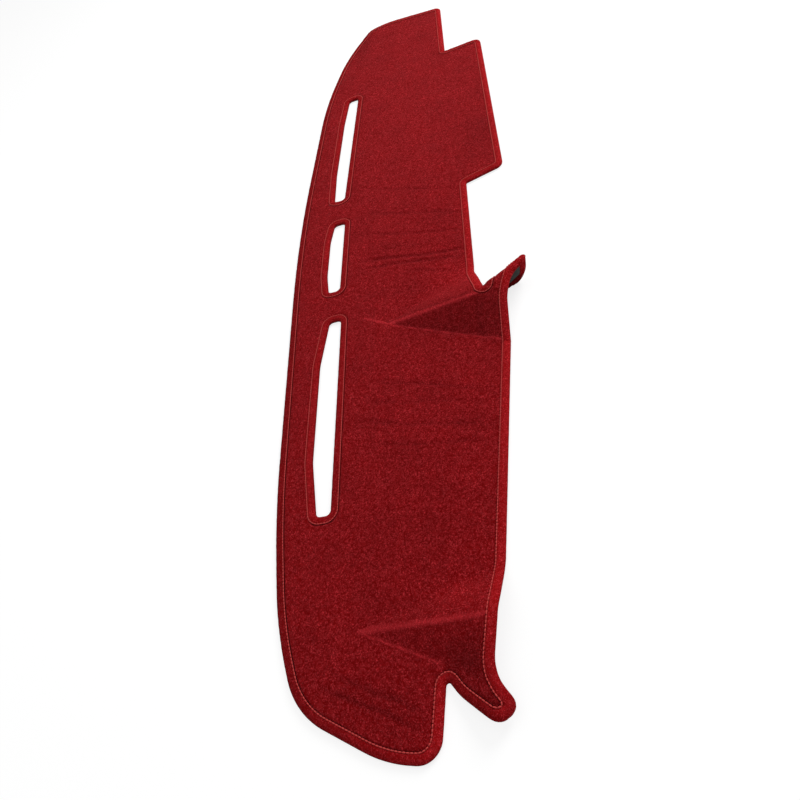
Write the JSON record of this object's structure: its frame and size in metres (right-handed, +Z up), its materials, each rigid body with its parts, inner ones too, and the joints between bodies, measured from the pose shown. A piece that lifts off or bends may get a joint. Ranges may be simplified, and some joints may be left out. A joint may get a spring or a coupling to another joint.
{
  "type": "dashboard cover mat",
  "caption": "Fitted velour carpet cover for a car dashboard, with bound edges, vent slots, folded instrument hood corners and a front cutout.",
  "frame": {"origin": "middle of the footprint, on the surface that the mat lies on", "axes": "+X along the dashboard to the passenger's end, +Y to the windscreen, +Z up"},
  "size_m": [1.3958, 0.3558, 0.04],
  "materials": {
    "carpet": "cut velour pile on bonded felt",
    "binding": "short pile tape"
  },
  "bodies": {
    "root": {"carpet_sheet": "carpet", "edge_binding": "binding", "driver_slot_binding": "binding", "middle_slot_binding": "binding", "passenger_slot_binding": "binding"}
  },
  "joints": []
}
